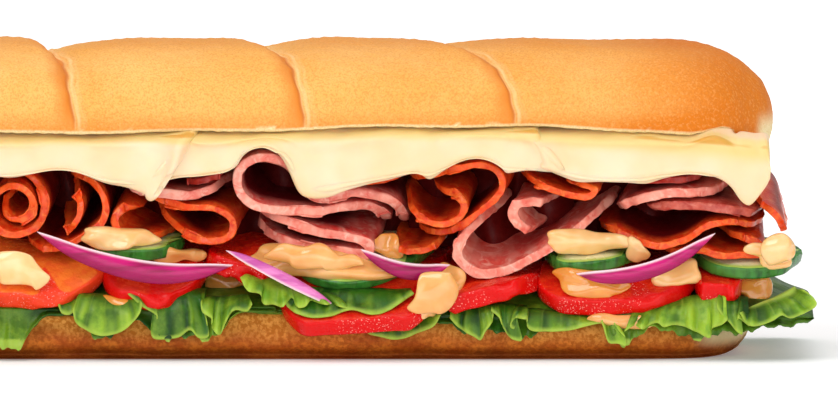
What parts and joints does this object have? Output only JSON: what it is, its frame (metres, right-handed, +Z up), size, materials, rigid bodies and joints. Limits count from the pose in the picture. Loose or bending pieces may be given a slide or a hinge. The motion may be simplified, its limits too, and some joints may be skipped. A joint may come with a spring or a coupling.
{
  "type": "sandwich",
  "caption": "Long filled bread roll: melted cheese, folded cured meats, tomato, cucumber, red onion, lettuce and sauce between a slashed crown and a flat heel.",
  "frame": {"origin": "middle of the bounding box at the level of the flat underside of the heel", "axes": "+X along the roll, towards the end that shows in the picture; -Y is the front that shows; +Z up"},
  "size_m": [0.317, 0.0936, 0.0833],
  "materials": {
    "crust": "baked crust, satin, golden brown",
    "cheese": "melted cheese, soft gloss, pale cream yellow",
    "salami": "pink cured meat marbled with pale fat, moist",
    "pepperoni": "orange-red cured meat, moist and oily",
    "tomato": "red skin, wet orange-red flesh",
    "cucumber": "dark green peel, pale wet flesh",
    "onion": "purple skin with white cut edges",
    "lettuce": "thin green leaf with pale ribs and edges",
    "sauce": "thick creamy orange sauce, glossy"
  },
  "bodies": {
    "root": {"bread_crown": "crust", "bread_heel": "crust", "cheese_1": "cheese", "cheese_2": "cheese", "cheese_3": "cheese", "cucumber_1": "cucumber", "cucumber_2": "cucumber", "cucumber_3": "cucumber", "cucumber_4": "cucumber", "cucumber_back": "cucumber", "lettuce_1": "lettuce", "lettuce_2": "lettuce", "lettuce_3": "lettuce", "lettuce_4": "lettuce", "onion_1": "onion", "onion_2": "onion", "onion_3": "onion", "onion_4": "onion", "onion_back": "onion", "pepperoni_back": "pepperoni", "pepperoni_big": "pepperoni", "pepperoni_curl": "pepperoni", "pepperoni_end": "pepperoni", "pepperoni_flat": "pepperoni", "pepperoni_heart": "pepperoni", "pepperoni_inner": "pepperoni", "pepperoni_loop": "pepperoni", "pepperoni_low": "pepperoni", "pepperoni_outer": "pepperoni", "pepperoni_roll": "pepperoni", "pepperoni_small": "pepperoni", "pepperoni_under": "pepperoni", "pepperoni_vee": "pepperoni", "pepperoni_wave": "pepperoni", "pepperoni_wave_left": "pepperoni", "salami_arch": "salami", "salami_arch_left": "salami", "salami_cone": "salami", "salami_cone_left": "salami", "salami_curl": "salami", "salami_dark": "salami", "salami_low": "salami", "salami_strip": "salami", "salami_twin": "salami", "sauce_1": "sauce", "sauce_2": "sauce", "sauce_3": "sauce", "sauce_4": "sauce", "tomato_1": "tomato", "tomato_2": "tomato", "tomato_3": "tomato", "tomato_4": "tomato", "tomato_5": "tomato", "tomato_6": "tomato", "tomato_7": "tomato", "tomato_8": "tomato", "tomato_back_1": "tomato", "tomato_back_2": "tomato", "tomato_back_3": "tomato"}
  },
  "joints": []
}
